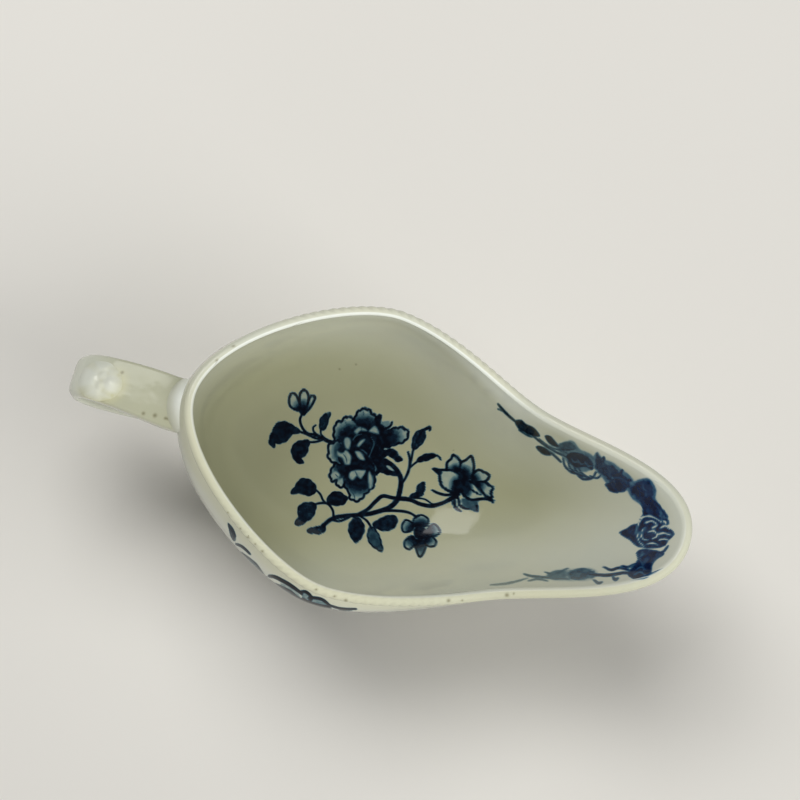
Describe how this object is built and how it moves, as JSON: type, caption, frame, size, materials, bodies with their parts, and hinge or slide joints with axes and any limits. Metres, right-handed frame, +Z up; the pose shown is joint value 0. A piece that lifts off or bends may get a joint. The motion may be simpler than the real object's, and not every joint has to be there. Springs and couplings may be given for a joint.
{
  "type": "sauceboat",
  "caption": "Porcelain sauceboat: oval bowl with a gadroon edge and raised pouring lip, oval foot ring, strap handle with a shell thumb rest, printed in underglaze blue.",
  "frame": {"origin": "on the table, under the middle of the whole length from the handle's far side to the lip, on the plane of symmetry", "axes": "+X towards the pouring lip, -X towards the handle, +Z up"},
  "size_m": [0.2006, 0.0972, 0.0721],
  "materials": {
    "glaze": "clear glossy lead glaze with a green cast over cream porcelain, printed in blue",
    "biscuit": "glazed flank, matt bare clay where it stands"
  },
  "bodies": {
    "root": {"bowl": "glaze", "foot_ring": "biscuit", "handle_strap": "glaze", "upper_terminal": "glaze", "lower_terminal": "glaze", "thumb_rest": "glaze"}
  },
  "joints": []
}
